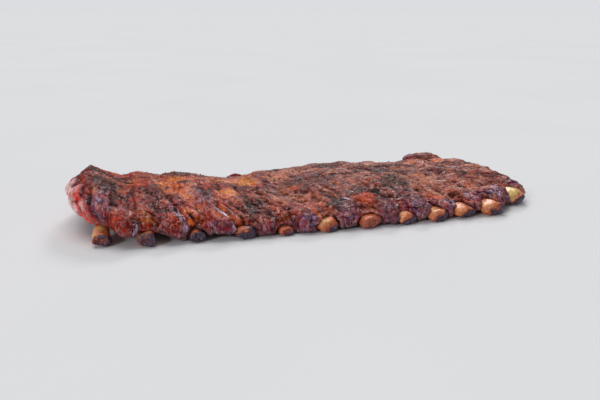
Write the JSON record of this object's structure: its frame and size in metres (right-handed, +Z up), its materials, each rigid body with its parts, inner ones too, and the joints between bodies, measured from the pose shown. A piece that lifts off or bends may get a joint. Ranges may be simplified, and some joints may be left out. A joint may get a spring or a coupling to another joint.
{
  "type": "rack of ribs",
  "caption": "Smoked rack of pork ribs: a long slab of crusted meat, one end cut square and thick, with rib bones running through it and their tips bare along the front edge.",
  "frame": {"origin": "middle of the underside: the centre of the rack's box in X and Y, at the surface that the bones rest on", "axes": "+X along the rack from its thick cut end to its thin end, +Y across the rack from the bare bone tips to the back edge, +Z up through the crust"},
  "size_m": [0.3983, 0.156, 0.0403],
  "materials": {
    "crust": "dark mahogany smoked crust under a wet glaze, with charred patches, amber fat and a pink-red cut end",
    "bone": "tan roasted bone, charred grey to violet-black at the tips"
  },
  "bodies": {
    "root": {"meat": "crust", "rib_bone_01": "bone", "rib_bone_02": "bone", "rib_bone_03": "bone", "rib_bone_04": "bone", "rib_bone_05": "bone", "rib_bone_06": "bone", "rib_bone_07": "bone", "rib_bone_08": "bone", "rib_bone_09": "bone", "rib_bone_10": "bone", "rib_bone_11": "bone", "rib_bone_12": "bone"}
  },
  "joints": []
}
